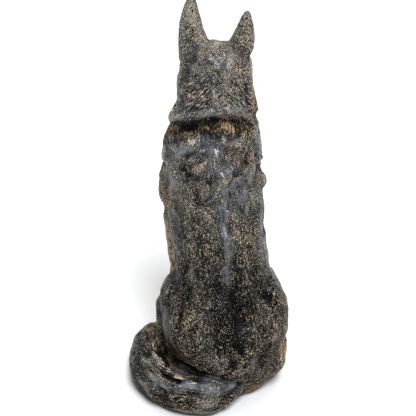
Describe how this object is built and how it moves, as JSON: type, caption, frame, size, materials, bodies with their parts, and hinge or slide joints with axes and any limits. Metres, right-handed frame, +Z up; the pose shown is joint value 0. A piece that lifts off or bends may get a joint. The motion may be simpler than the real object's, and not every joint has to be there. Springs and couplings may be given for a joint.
{
  "type": "cast aluminium dog statue",
  "caption": "Sitting shepherd dog cast in aluminium, ears up, head turned, tail laid round its side, with a black and gold patina; stands on its own feet and seat.",
  "frame": {"origin": "middle of the statue's footprint, on the floor", "axes": "+Z up, the dog sits facing -Y, +X is the dog's left, where the tail lies"},
  "size_m": [0.3877, 0.507, 0.8392],
  "materials": {
    "patina": "semi-gloss black-brown patina over cast aluminium, with dull gold brushed on the raised coat"
  },
  "bodies": {
    "root": {"dog_statue": "patina"}
  },
  "joints": []
}
